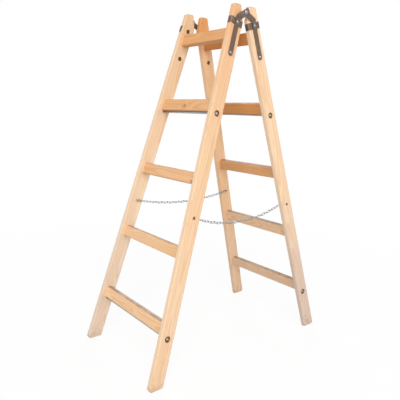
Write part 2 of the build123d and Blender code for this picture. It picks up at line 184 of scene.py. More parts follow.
# Noise: how it is drawn out along the axes, if it is, then its scale, detail and roughness
NOISES = {
    "ragged": ((320.0, 320.0, 260.0), 1.0, 2.0, 0.55),
    "bend": ((6.0, 6.0, 1.6), 1.0, 2.0, 0.55),
    "sway": ((5.0, 5.0, 2.1), 1.3, 2.0, 0.55),
    "loose": ((90.0, 90.0, 3.0), 1.0, 3.0, 0.55),
    "fibre": ((900.0, 900.0, 11.0), 1.0, 4.0, 0.62),
    "fleck": ((1500.0, 1500.0, 42.0), 1.0, 1.0, 0.55),
    "streak": ((170.0, 170.0, 2.2), 1.0, 3.0, 0.55),
    "tone": ((14.0, 14.0, 2.4), 1.0, 2.0, 0.55),
    "scratch": ((160.0, 900.0, 34.0), 1.0, 3.0, 0.7),
    "grub": (None, 38.0, 5.0, 0.65),
    "cloud": (None, 55.0, 5.0, 0.6),
    "rust": (None, 140.0, 5.0, 0.7),
    "dull": (None, 160.0, 4.0, 0.6),
    "speck": (None, 420.0, 4.0, 0.7),
    "grit": (None, 1700.0, 2.0, 0.6),
}
MEAN = 0.5  # of noise and of chances

# Wood. A mask has where it starts, where it is full and, in some, how strongly it is laid on.
STILE_WOOD = {
    "pale": (0.90, 0.685, 0.465),
    "late": (0.68, 0.37, 0.17),
    "blush": (0.88, 0.59, 0.37),
    "end": (0.60, 0.36, 0.18),
    "half_width": 30 * MM,
    "half_thickness": 11 * MM,
    "ring": 3.4 * MM,
    "knot_size": 4.5 * MM,
    "edge_glare_share": 0.32,
}
RUNG_WOOD = {
    "pale": (0.94, 0.62, 0.36),
    "late": (0.62, 0.31, 0.125),
    "blush": (0.88, 0.53, 0.24),
    "end": (0.50, 0.25, 0.09),
    "half_width": 23.5 * MM,
    "half_thickness": 13 * MM,
    "ring": 2.8 * MM,
    "knot_size": 6 * MM,
    "edge_glare_share": 0.0,
}
# How far each stile is tanned, warm and tanned towards the top, how deep the painted shade at its upper end
# is, and how far dust and painted shade grey it towards its foot
STILE_TONES = {
    "front_left": {"tan": 0.0, "warm": 0.0, "top": 0.24, "tan_and_shade": 0.15, "dust": 0.26},
    "front_right": {"tan": 0.05, "warm": 0.40, "top": 0.24, "tan_and_shade": 0.20, "dust": 0.05},
    "rear_left": {"tan": 0.0, "warm": 0.80, "top": 0.08, "tan_and_shade": 0.75, "dust": 0.22},
    "rear_right": {"tan": 0.03, "warm": 0.18, "top": 0.06, "tan_and_shade": 0.0, "dust": 0.46},
}
RUNG_TAN_AND_SHADE = {"front": (0.02, 0.10, 0.32, 0.42, 0.58), "rear": (0.0, 0.0, 0.6, 0.88, 1.0)}  # from the floor up; on the rear rungs it is mostly painted shade
RUNG_DUST_AND_SHADE = {"front": 0.0, "rear": 0.22}
TAN_AND_SHADE = (0.78, 0.48, 0.20)  # the deepest board's share of a pale one's colour, for tan and for painted shade
TOP_RISE = (0.65, 1.15)  # a stile deepens between these heights
END_RISE = (1.22, 1.34)  # and deepens again at its upper end, as painted shade
WARM = (1.03, 0.88, 0.72)
# Painted highlight: the stiles' narrow faces are painted paler
EDGE_GLARE = (0.97, 0.86, 0.72)
EDGE_TURN = (0.7, 0.95)
# Dust, and painted shade, grey the boards towards the floor
DUST_AND_SHADE = (0.50, 0.42, 0.455)
DUST_AND_SHADE_RISE = (0.75, 0.15)
LOG_SHIFT = (3.7, 1.9, 5.3)  # how far apart the boards are cut, by their numbers
PITH_SPREAD = 50 * MM  # the pith is somewhere within this
PITH_DEPTH = 22 * MM  # and at least this far behind the board's middle
BEND_SIZE = 30 * MM
SWAY_SIZE = 22 * MM
RUN_OUT = 0.016  # the range of the pith's slope along the board
RING_LOOSE = 0.7  # in rings
LATE_RISE = (0.25, 0.86)  # in a ring
LATE_FALL = (1.0, 0.90)
LATE_SHARE = 0.18
LATE_FIBRE_SHARE = 0.36
BLUSH = (0.36, 0.68, 0.55)
STREAK = (0.52, 0.74, 0.30)
FLECK = (0.70, 0.78)
FLECK_SHARE = 0.30
# Painted sheen: some of the fibres are painted towards white
PAINTED_SHEEN = (0.56, 0.30, 0.10)
KNOT = (0.22, 0.085, 0.03)
KNOT_HALO = (0.60, 0.27, 0.09)
KNOT_CELL = (70 * MM, 330 * MM)  # a board's face has about one place for a knot in each
KNOT_SHIFT = (7.0, 3.0)  # in cells, how far apart the boards' knots are
KNOT_CHANCE = (0.82, 0.83)
KNOT_LEAST = 0.4  # the smallest knot's share of the largest
KNOT_SLIM = 0.6  # knots are longer along the grain
KNOT_ROUGH = 0.5
KNOT_RIM = (1.12, 0.80)  # in radii
HALO_RIM = (3.2, 0.9)
HALO_SHARE = 0.34
KNOT_RINGS = 3.0  # in a radius
KNOT_RING_TONE = (0.10, 0.40)
KNOT_SHARE = 0.55
KNOT_RING_SHARE = 0.3
KNOT_TINT_SHARE = 0.25
SWERVE_SLIM = 0.10  # rings give way to a knot far along the grain
SWERVE_SIZE = 1.1  # in its radii
SWERVE_REACH = 1.6
END_TURN = (0.35, 0.80)
END_SHARE = 0.6
SINKING_SHADE = (0.23, 0.11, 0.045)  # painted shade on the walls of the holes
SINKING_SHADE_SHARE = 0.8
GRIME = (0.16, 0.11, 0.07)
ARRIS_REACH = 4 * MM
ARRIS_GRUB = (0.40, 0.66)
ARRIS_SHARE = 0.34
FOOT_RISE = (0.07, 0.0)
FOOT_GRUB = (0.42, 0.62)
FOOT_SHARE = 0.30
# Upward faces are darker: painted shade, with patchy dirt where they are trodden
TREAD_SHADE_AND_GRIME = (0.20, 0.13, 0.085)
TREAD_TURN = (0.55, 0.92)
TREAD_GRUB = (0.30, 0.62, 0.4)
TREAD_SHADE_SHARE = 0.45
WOOD_ROUGH = {"plain": 0.50, "late": -0.07, "fibre": 0.14, "end": 0.12}
WOOD_RELIEF = {"plain": 0.0, "fibre": 0.6, "late": -0.3, "fleck": -0.3, "knot": 0.4}
WOOD_BUMP = (0.22, 0.4 * MM)  # strength and depth
WOOD_SHINE = 0.38

# Steel
STRAP_PAINT = (0.146, 0.093, 0.066)
STRAP_BARE = (0.30, 0.26, 0.225)
# Edges and collar bends painted light: bare wear, with a painted glint on the bends
STRAP_EDGE_WEAR_AND_GLINT = (0.62, 0.59, 0.57)
STRAP_RUST = (0.13, 0.055, 0.025)
# Painted shade and a painted reflection of the wood on the straps' inner faces
STRAP_INSIDE_SHADE = (0.20, 0.10, 0.05)
BARE_MIX = (0.6, 0.4)  # of clouds and specks
BARE = (0.50, 0.66, 0.55)
SCRATCH = (0.66, 0.74, 0.6)
RUST_TONE = (0.56, 0.74)
RUST_SHARE = 0.55
WORN_AND_GLINT_TONE = (0.36, 0.58)
WORN_AND_GLINT_SHARE = 0.8
INSIDE_SHARE = 0.35
INSIDE_CLOUD_SHARE = 0.7
STRAP_ROUGH = {"plain": 0.38, "cloud": 0.16, "bare": -0.08, "rust": 0.22, "edge": -0.1}
STRAP_METAL = {"plain": 0.55, "bare": 0.45, "rust": -0.5}
STRAP_RELIEF = {"plain": 0.0, "speck": 1.0, "rust": 0.6, "scratch": -0.4}
STRAP_BUMP = (0.18, 0.15 * MM)
PLATED = {  # bright, and dulled
    "zinc": ((0.47, 0.46, 0.45), (0.27, 0.26, 0.25)),
    "head": ((0.36, 0.345, 0.35), (0.17, 0.16, 0.16)),
    "rusty": ((0.16, 0.085, 0.04), (0.08, 0.04, 0.018)),
    "golden": ((0.38, 0.25, 0.12), (0.19, 0.115, 0.05)),
    "chain": ((0.40, 0.41, 0.43), (0.15, 0.15, 0.16)),
}
DULL_TONE = (0.38, 0.68)
DULL_SHARE = 0.7
ZINC_ROUGH = {"plain": 0.27, "dull": 0.20, "grit": 0.08}
ZINC_BUMP = (0.10, 0.05 * MM)


class Wire:
    """An output socket of a node, on which sums are written as on a number."""

    def __init__(self, tree, socket):
        self.tree = tree
        self.socket = socket

    def out(self, name):
        return Wire(self.tree, self.socket.node.outputs[name])

    def __add__(self, other):
        return self.tree.math("ADD", self, other)

    def __radd__(self, other):
        return self.tree.math("ADD", other, self)

    def __sub__(self, other):
        return self.tree.math("SUBTRACT", self, other)

    def __rsub__(self, other):
        return self.tree.math("SUBTRACT", other, self)

    def __mul__(self, other):
        return self.tree.math("MULTIPLY", self, other)

    def __rmul__(self, other):
        return self.tree.math("MULTIPLY", other, self)

    def __truediv__(self, other):
        return self.tree.math("DIVIDE", self, other)

    def __rtruediv__(self, other):
        return self.tree.math("DIVIDE", other, self)

    def __mod__(self, other):
        return self.tree.math("MODULO", self, other)

    def __abs__(self):
        return self.tree.math("ABSOLUTE", self)


class Tree:
    """A node tree: every node in it comes from one method."""

    def __init__(self, node_tree):
        self.node_tree = node_tree

    def node(self, kind, settings=None, sockets=None, out=0):
        """Adds a node, sets it up, then gives its sockets values or links. Returns one of its outputs."""
        made = self.node_tree.nodes.new(kind)
        for name, value in (settings or {}).items():
            setattr(made, name, value)
        for key, value in (sockets or {}).items():
            for entry in value if isinstance(value, list) else [value]:
                if isinstance(entry, Wire):
                    self.node_tree.links.new(entry.socket, made.inputs[key])
                else:
                    made.inputs[key].default_value = entry
        return Wire(self, made.outputs[out]) if made.outputs else made

    def math(self, operation, *values):
        return self.node("ShaderNodeMath", {"operation": operation}, dict(enumerate(values)))

    def vector(self, x, y, z):
        return self.node("ShaderNodeCombineXYZ", None, {"X": x, "Y": y, "Z": z})

    def split(self, vector):
        x = self.node("ShaderNodeSeparateXYZ", None, {"Vector": vector})
        return x, x.out("Y"), x.out("Z")

    def seen(self):
        """1 for what the camera sees itself, in metal or through glass, and 0 for what lights the object."""
        path = self.node("ShaderNodeLightPath", out="Is Camera Ray")
        either = self.math("MAXIMUM", path, path.out("Is Glossy Ray"))
        return self.math("MAXIMUM", either, path.out("Is Transmission Ray"))


class Paint(Tree):
    """A material's tree, with the textures and mixes that the finishes share."""

    def __init__(self, name):
        self.material = bpy.data.materials.new(name)
        self.material.use_nodes = True
        self.material.node_tree.nodes.clear()
        super().__init__(self.material.node_tree)

    def places(self):
        return self.node("ShaderNodeTexCoord", out="Object")

    def attribute(self, name, out="Fac"):
        return self.node("ShaderNodeAttribute", {"attribute_name": name}, out=out)

    def vector_math(self, operation, vector, other):
        return self.node("ShaderNodeVectorMath", {"operation": operation}, {0: vector, 1: other})

    def noise(self, vector, name):
        stretch, scale, detail, roughness = NOISES[name]
        if stretch:
            vector = self.vector_math("MULTIPLY", vector, stretch)
        sockets = {"Vector": vector, "Scale": scale, "Detail": detail, "Roughness": roughness}
        return self.node("ShaderNodeTexNoise", None, sockets)

    def step(self, value, low, high, share=1.0):
        """0 below low, a share of 1 above high and smooth between. With low above high it falls."""
        sockets = {"Value": value, "From Min": low, "From Max": high, "To Max": share}
        return self.node("ShaderNodeMapRange", {"interpolation_type": "SMOOTHSTEP"}, sockets)

    def weigh(self, shares, **masks):
        """A plain value with a share of each mask added to it."""
        total = shares["plain"]
        for name, mask in masks.items():
            total = total + mask * shares[name]
        return total

    def mix(self, factor, first, second, blend="MIX"):
        """Two colours in one. The node's sockets for colours are known by their numbers."""
        settings = {"data_type": "RGBA", "blend_type": blend}
        first = first if isinstance(first, Wire) else (*first, 1.0)
        second = second if isinstance(second, Wire) else (*second, 1.0)
        return self.node("ShaderNodeMix", settings, {0: factor, 6: first, 7: second}, out=2)

    def stain(self, factor, colour, by):
        """A colour that is multiplied by another as far as the factor says."""
        return self.mix(factor, colour, self.mix(1.0, colour, by, "MULTIPLY"))

    def bump(self, height, strength, distance):
        sockets = {"Height": height, "Strength": strength, "Distance": distance}
        return self.node("ShaderNodeBump", None, sockets)

    def finish(self, **sockets):
        """The surface, from the Principled shader's sockets with their spaces left out."""
        names = {key.replace("_", " "): value for key, value in sockets.items()}
        shader = self.node("ShaderNodeBsdfPrincipled", None, names)
        self.node("ShaderNodeOutputMaterial", None, {"Surface": shader})
        return self.material


class Shape(Tree):
    """A Geometry Nodes tree that puts a form on each point of a mesh, as its facing attributes turn it."""

    KINDS = {float: "NodeSocketFloat", int: "NodeSocketInt", tuple: "NodeSocketVector"}

    def __init__(self, name, **sizes):
        super().__init__(bpy.data.node_groups.new(name, "GeometryNodeTree"))
        face = self.node_tree.interface
        face.new_socket("Geometry", in_out="OUTPUT", socket_type="NodeSocketGeometry")
        face.new_socket("Points", in_out="INPUT", socket_type="NodeSocketGeometry")
        kinds = {size: self.KINDS[kind] for size, kind in sizes.items()}
        kinds["Material"] = "NodeSocketMaterial"
        self.keys = {}
        for size, kind in kinds.items():
            self.keys[size] = face.new_socket(size, in_out="INPUT", socket_type=kind).identifier
        self.points = self.node("NodeGroupInput")
        self.sizes = [self.points.out(size) for size in sizes]

    def line(self, *corners):
        """Straight runs from corner to corner. A corner is how far out and how far up it is."""
        ends = [self.vector(out, -1 * up, 0.0) for out, up in corners]
        runs = [
            self.node("GeometryNodeCurvePrimitiveLine", None, {"Start": a, "End": b})
            for a, b in zip(ends, ends[1:])
        ]
        return self.join(*runs)

    def join(self, *parts):
        return self.node("GeometryNodeJoinGeometry", None, {"Geometry": list(parts)})

    def circle(self, radius, sides):
        return self.node("GeometryNodeCurvePrimitiveCircle", None, {"Resolution": sides, "Radius": radius})

    def cylinder(self, radius, sides, height):
        sockets = {"Vertices": sides, "Radius": radius, "Depth": height}
        return self.node("GeometryNodeMeshCylinder", None, sockets)

    def sweep(self, path, profile):
        return self.node("GeometryNodeCurveToMesh", None, {"Curve": path, "Profile Curve": profile})

    def turn(self, profile):
        """A profile turned round the z axis."""
        turned = self.sweep(self.circle(AXIS_HOLE, TURNED_SIDES), profile)
        sockets = {"Geometry": turned, "Distance": AXIS_WELD}
        return self.node("GeometryNodeMergeByDistance", None, sockets)

    def dome(self, width, height):
        """The profile of a domed head, from its rim to its crown."""
        sockets = {"Resolution": DOME_STEPS, "Radius": 1.0, "Sweep Angle": pi / 2}
        arc = self.node("GeometryNodeCurveArc", None, sockets)
        return self.moved(arc, scale=self.vector(width / 2, -1 * height, 1.0))

    def thread(self, radius, low, high, pitch):
        """The profile of a screw thread between two heights."""
        run = self.line((radius, low), (radius, high))
        count = self.math("ROUND", 2 * (high - low) / pitch) + 1
        run = self.node("GeometryNodeResampleCurve", None, {"Curve": run, "Count": count})
        odd = self.node("GeometryNodeInputIndex") % 2
        inward = self.vector(-1 * odd * radius * THREAD_DEPTH, 0.0, 0.0)
        return self.node("GeometryNodeSetPosition", None, {"Geometry": run, "Offset": inward})

    def moved(self, part, by=(0.0, 0.0, 0.0), turn=(0.0, 0.0, 0.0), scale=(1.0, 1.0, 1.0)):
        sockets = {"Geometry": part, "Translation": by, "Rotation": turn, "Scale": scale}
        return self.node("GeometryNodeTransform", None, sockets)

    def cut(self, form, tool):
        """What is left of a form when a tool's is taken out of it."""
        settings = {"operation": "DIFFERENCE", "solver": "EXACT"}
        return self.node("GeometryNodeMeshBoolean", settings, {"Mesh 1": form, "Mesh 2": tool})

    def common(self, *forms):
        """What the forms have in common."""
        settings = {"operation": "INTERSECT", "solver": "EXACT"}
        return self.node("GeometryNodeMeshBoolean", settings, {"Mesh 2": list(forms)})

    def facing(self, name):
        settings = {"data_type": "FLOAT_VECTOR"}
        return self.node("GeometryNodeInputNamedAttribute", settings, {"Name": name})

    def turned(self, primary, first, secondary, second):
        """The turn that brings one axis along a direction and another as near as it can to a second."""
        settings = {"primary_axis": primary, "secondary_axis": secondary}
        sockets = {"Primary Axis": first, "Secondary Axis": second}
        return self.node("FunctionNodeAxesToRotation", settings, sockets)

    def place(self, form):
        """The form on every point, its z along the point's facing and its x along the point's side."""
        turned = self.turned("Z", self.facing("facing"), "X", self.facing("side"))
        return self.close(self.points, form, turned)

    def close(self, points, form, rotation):
        """Ends the tree with a real copy of the form on each point, in the material that is asked for."""
        sockets = {"Points": points, "Instance": form, "Rotation": rotation}
        copies = self.node("GeometryNodeInstanceOnPoints", None, sockets)
        real = self.node("GeometryNodeRealizeInstances", None, {"Geometry": copies})
        smooth = self.node("GeometryNodeSetShadeSmooth", None, {"Geometry": real})
        sockets = {"Geometry": smooth, "Material": self.points.out("Material")}
        painted = self.node("GeometryNodeSetMaterial", None, sockets)
        self.node("NodeGroupOutput", None, {"Geometry": painted})
        return self

    def mesh(self, points, material, **sizes):
        """Runs the tree on points and gives the result as a plain mesh, faces outwards."""
        holder = add("points", point_mesh(points))
        modifier = holder.modifiers.new("form", "NODES")
        modifier.node_group = self.node_tree
        for name, value in sizes.items():
            modifier[self.keys[name]] = value
        modifier[self.keys["Material"]] = material
        graph = bpy.context.evaluated_depsgraph_get()
        made = bpy.data.meshes.new_from_object(holder.evaluated_get(graph), depsgraph=graph)
        bpy.data.objects.remove(holder)
        bm = bmesh.new()
        bm.from_mesh(made)
        bmesh.ops.recalc_face_normals(bm, faces=bm.faces)
        bm.to_mesh(made)
        bm.free()
        return made


def add(name, data):
    """A new object in the scene."""
    thing = bpy.data.objects.new(name, data)
    bpy.context.scene.collection.objects.link(thing)
    return thing


def point_mesh(points):
    """A mesh of loose points, each a place with its facing and its side."""
    mesh = bpy.data.meshes.new("points")
    mesh.from_pydata([place for place, facing, side in points], [], [])
    for number, name in enumerate(("facing", "side"), start=1):
        layer = mesh.attributes.new(name, "FLOAT_VECTOR", "POINT")
        for entry, point in zip(layer.data, points):
            entry.vector = point[number]
    return mesh


# Pieces
def put(name, mesh, *nodes):
    """A finished mesh as a piece that stands for some nodes of one body."""
    mesh.set_sharp_from_angle(angle=CREASE)
    piece = add(name, mesh)
    if nodes:
        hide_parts(*nodes)
        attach(piece, frame["nodes"][nodes[0]]["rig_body"])
    return piece


def put_level(name, bm, material, node):
    """The same for an edited solid, smooth, with its broad faces kept level."""
    for face in bm.faces:
        face.smooth = True
    mesh = bpy.data.meshes.new(name)
    bm.to_mesh(mesh)
    bm.free()
    mesh.materials.append(material)
    level = put(name, mesh, node).modifiers.new("level faces", "WEIGHTED_NORMAL")
    level.keep_sharp = True


def welded(node):
    """A node's mesh with its corners joined."""
    bm = bmesh.new()
    bm.from_mesh(frame["nodes"][node].data)
    bmesh.ops.remove_doubles(bm, verts=bm.verts, dist=WELD)
    return bm


def whole(node):
    """The same with its flat faces in one."""
    bm = welded(node)
    bmesh.ops.dissolve_limit(bm, angle_limit=FLAT, verts=bm.verts, edges=bm.edges, delimit={"NORMAL"})
    return bm


def direction(edge):
    return (edge.verts[0].co - edge.verts[1].co).normalized()


def soften(bm, turns, width, steps, along=None):
    """Rounds the outward edges whose faces turn by an angle in that range, in one direction or in all."""
    low, high = map(radians, turns)
    edges = [
        edge
        for edge in bm.edges
        if edge.is_manifold
        and edge.is_convex
        and low < edge.calc_face_angle() < high
        and (along is None or abs(direction(edge).dot(along)) > PARALLEL)
    ]
    return bmesh.ops.bevel(
        bm,
        geom=edges,
        offset=width,
        offset_type="OFFSET",
        segments=steps,
        profile=ROUND,
        affect="EDGES",
        clamp_overlap=True,
    )["faces"]


def board_axes(bm):
    """The directions across a board's width, through its thickness and along its grain."""
    broad = max(bm.faces, key=lambda face: face.calc_area())
    through = broad.normal.normalized()
    along = direction(max(broad.edges, key=lambda edge: edge.calc_length()))
    if max(along, key=abs) < 0:
        along.negate()
    return along.cross(through), through, along


def stile_axes(ladder, hand):
    bm = whole(f"{ladder}_{hand}_stile")
    axes = board_axes(bm)
    bm.free()
    return axes


def away_from(place, axis, spot):
    """From the nearest place on an axis to a spot."""
    away = spot - place
    return away - axis * away.dot(axis)


def round_sinking(bm, place, axis):
    """Makes a faceted hole round: its walls are cut finer and its corners go out to one radius."""
    def radius(vertex):
        return away_from(place, axis, vertex.co).length

    def within_reach(face):
        return all(radius(vertex) < SINKING_REACH for vertex in face.verts)

    walls = [face for face in bm.faces if abs(face.normal.dot(axis)) < SQUARE and within_reach(face)]
    rings = {edge for face in walls for edge in face.edges if abs(direction(edge).dot(axis)) < SLANT}
    radii = {round(radius(vertex), RADIUS_DIGITS) for edge in rings for vertex in edge.verts}
    made = bmesh.ops.subdivide_edges(bm, edges=list(rings), cuts=SINKING_CUTS, use_grid_fill=True)
    for vertex in {item for item in made["geom_inner"] if isinstance(item, bmesh.types.BMVert)}:
        wanted = min(entry for entry in radii if entry > radius(vertex) - WELD)
        vertex.co += away_from(place, axis, vertex.co) * (wanted / radius(vertex) - 1)


def wooden(node, name, material, log, sinkings=(), **tones):
    """A board with rounded arrises that knows its own grain: width, thickness and length from its middle."""
    bm = whole(node)
    axes = board_axes(bm)
    for place, axis in sinkings:
        round_sinking(bm, place, axis)
    reach = [[vertex.co.dot(axis) for vertex in bm.verts] for axis in axes]
    middle = [(min(ones) + max(ones)) / 2 for ones in reach]
    soften(bm, CHAMFERS, ARRIS, ARRIS_STEPS)
    soften(bm, CORNERS, RIM, RIM_STEPS)
    grain = bm.verts.layers.float_vector.new("board")
    for vertex in bm.verts:
        vertex[grain] = [vertex.co.dot(axis) - centre for axis, centre in zip(axes, middle)]
    across, through, along = axes
    under_face = (max(reach[1]) - min(reach[1])) / 2 - RIM
    kinds = ("end", "tread", "log", "sunk", "narrow", *tones)
    layers = {mark: bm.faces.layers.float.new(mark) for mark in kinds}
    for face in bm.faces:
        spot = face.calc_center_median()
        near = any(away_from(place, axis, spot).length < SINKING_REACH for place, axis in sinkings)
        marks = {
            "end": abs(face.normal.dot(along)),
            "tread": max(face.normal.z, 0.0),
            "log": log,
            "sunk": float(near and abs(spot.dot(through) - middle[1]) < under_face),
            "narrow": abs(face.normal.dot(across)),
            **tones,
        }
        for mark, value in marks.items():
            face[layers[mark]] = value
    put_level(name, bm, material, node)


def bent_steel(node, name, material, along=None):
    """A strap or collar with rounded bends and eased edges. A collar's corners run along its stile. Eased
    edges and a collar's bends are marked to be painted light, as wear with a painted glint; faces towards the
    ladder's middle are marked for painted shade.
    """
    bm = whole(node)
    soften(bm, BENDS, STEEL_BEND, BEND_STEPS)
    worn_and_glint = bm.faces.layers.float.new("worn_and_glint")
    if along:
        # A collar's bends are marked for a painted glint as well as wear
        for face in soften(bm, CORNERS, COLLAR_BEND, BEND_STEPS, along):
            face[worn_and_glint] = 1.0
    for face in soften(bm, CORNERS, STEEL_RIM, RIM_STEPS):
        face[worn_and_glint] = 1.0
    inside = bm.faces.layers.float.new("inside")
    for face in bm.faces:
        face[inside] = max(-face.normal.x if face.calc_center_median().x > 0 else face.normal.x, 0.0)
    put_level(name, bm, material, node)


def islands(node):
    """The corners of each separate solid in a node."""
    bm = welded(node)
    seen = set()
    found = []
    for start in bm.verts:
        if start in seen:
            continue
        seen.add(start)
        queue = [start]
        corners = []
        while queue:
            vertex = queue.pop()
            corners.append(vertex.co.copy())
            for edge in vertex.link_edges:
                other = edge.other_vert(vertex)
                if other not in seen:
                    seen.add(other)
                    queue.append(other)
        found.append(corners)
    bm.free()
    return found


def box_of(corners):
    return Vector(map(min, *corners)), Vector(map(max, *corners))


def middle_of(corners):
    low, high = box_of(corners)
    return (low + high) / 2


class Seat:
    """Where a fastener is: its foot and its tip along an axis, and its width across it."""

    def __init__(self, corners, axis):
        centre = sum(corners, Vector()) / len(corners)
        reach = [(corner - centre).dot(axis) for corner in corners]
        self.axis = axis
        self.foot = centre + axis * min(reach)
        self.length = max(reach) - min(reach)
        self.width = 2 * max(((corner - centre) - axis * r).length for corner, r in zip(corners, reach))

    def point(self, along=0.0, turn=0.0):
        """A place at a distance along the axis, facing along it, turned about it."""
        side = self.axis.orthogonal().normalized()
        side.rotate(Matrix.Rotation(turn, 3, self.axis))
        return (self.foot + self.axis * along, self.axis, side)


def outward(corners):
    """Along the rungs, away from the ladder's middle."""
    return Vector((1.0 if middle_of(corners).x > 0 else -1.0, 0.0, 0.0))


def stile_facing(ladder, corners):
    """Square to the outer face of the stile that these corners are at, away from the ladder's middle."""
    hand = "right" if middle_of(corners).x > 0 else "left"
    through = stile_axes(ladder, hand)[1]
    return through if through.x * HANDS[hand] > 0 else -through


# Wood finishes
def knots(paint, across, along, log, ragged, knot_size):
    """Knots that run through the board, their halos, their depth and how far the rings swerve round them."""
    cell_across, cell_along = KNOT_CELL
    shift_across, shift_along = KNOT_SHIFT
    place_across = across / cell_across + log * shift_across
    place_along = along / cell_along + log * shift_along
    cells = paint.vector(place_across, place_along, 0.0)
    settings = {"voronoi_dimensions": "2D", "feature": "F1"}
    spot = paint.node("ShaderNodeTexVoronoi", settings, {"Vector": cells, "Scale": 1.0}, out="Position")
    spot_across, spot_along = paint.split(spot)[:2]
    size_chance, drop_chance, tint_chance = paint.split(spot.out("Color"))
    radius = (KNOT_LEAST + size_chance * (1 - KNOT_LEAST)) * knot_size
    off_x = (spot_across - log * shift_across) * cell_across - across
    off_z = (spot_along - log * shift_along) * cell_along - along
    present = paint.step(drop_chance, *KNOT_CHANCE)
    way = paint.math("SQRT", off_x * off_x + off_z * off_z * KNOT_SLIM) / radius
    way = way + (ragged - MEAN) * KNOT_ROUGH
    knot = paint.step(way, *KNOT_RIM) * present
    halo = paint.step(way, *HALO_RIM) * present
    growth = paint.step(abs(paint.math("FRACT", way * KNOT_RINGS) - MEAN), *KNOT_RING_TONE)
    depth = knot * (KNOT_SHARE + growth * KNOT_RING_SHARE - tint_chance * KNOT_TINT_SHARE)
    away = off_x * off_x + off_z * off_z * SWERVE_SLIM
    swerve = present * radius * SWERVE_SIZE / (1 + away / (radius * radius * SWERVE_REACH))
    return knot, halo, depth, swerve


def growth_rings(paint, board, elsewhere, log, ring, swerve):
    """The latewood of rings round a pith outside the board."""
    across, through, along = paint.split(board)
    chance = paint.node("ShaderNodeTexWhiteNoise", {"noise_dimensions": "1D"}, {"W": log}, out="Color")
    chance_x, chance_y, chance_z = paint.split(chance)
    bend = (paint.noise(elsewhere, "bend") - MEAN) * BEND_SIZE
    sway = (paint.noise(elsewhere, "sway") - MEAN) * SWAY_SIZE
    off_x = across - (chance_x - MEAN) * PITH_SPREAD + bend + along * (chance_z - MEAN) * RUN_OUT
    off_y = through + (PITH_DEPTH + chance_y * PITH_SPREAD) + sway
    distance = paint.math("SQRT", off_x * off_x + off_y * off_y) + swerve
    phase = paint.math("FRACT", distance / ring + paint.noise(elsewhere, "loose") * RING_LOOSE)
    return paint.step(phase, *LATE_RISE) * paint.step(phase, *LATE_FALL)


def near_edge(paint, half, way):
    """1 at a board's edge, falling to 0 inside it."""
    return paint.math("MAXIMUM", 1 - (half - abs(way)) / ARRIS_REACH, 0.0)


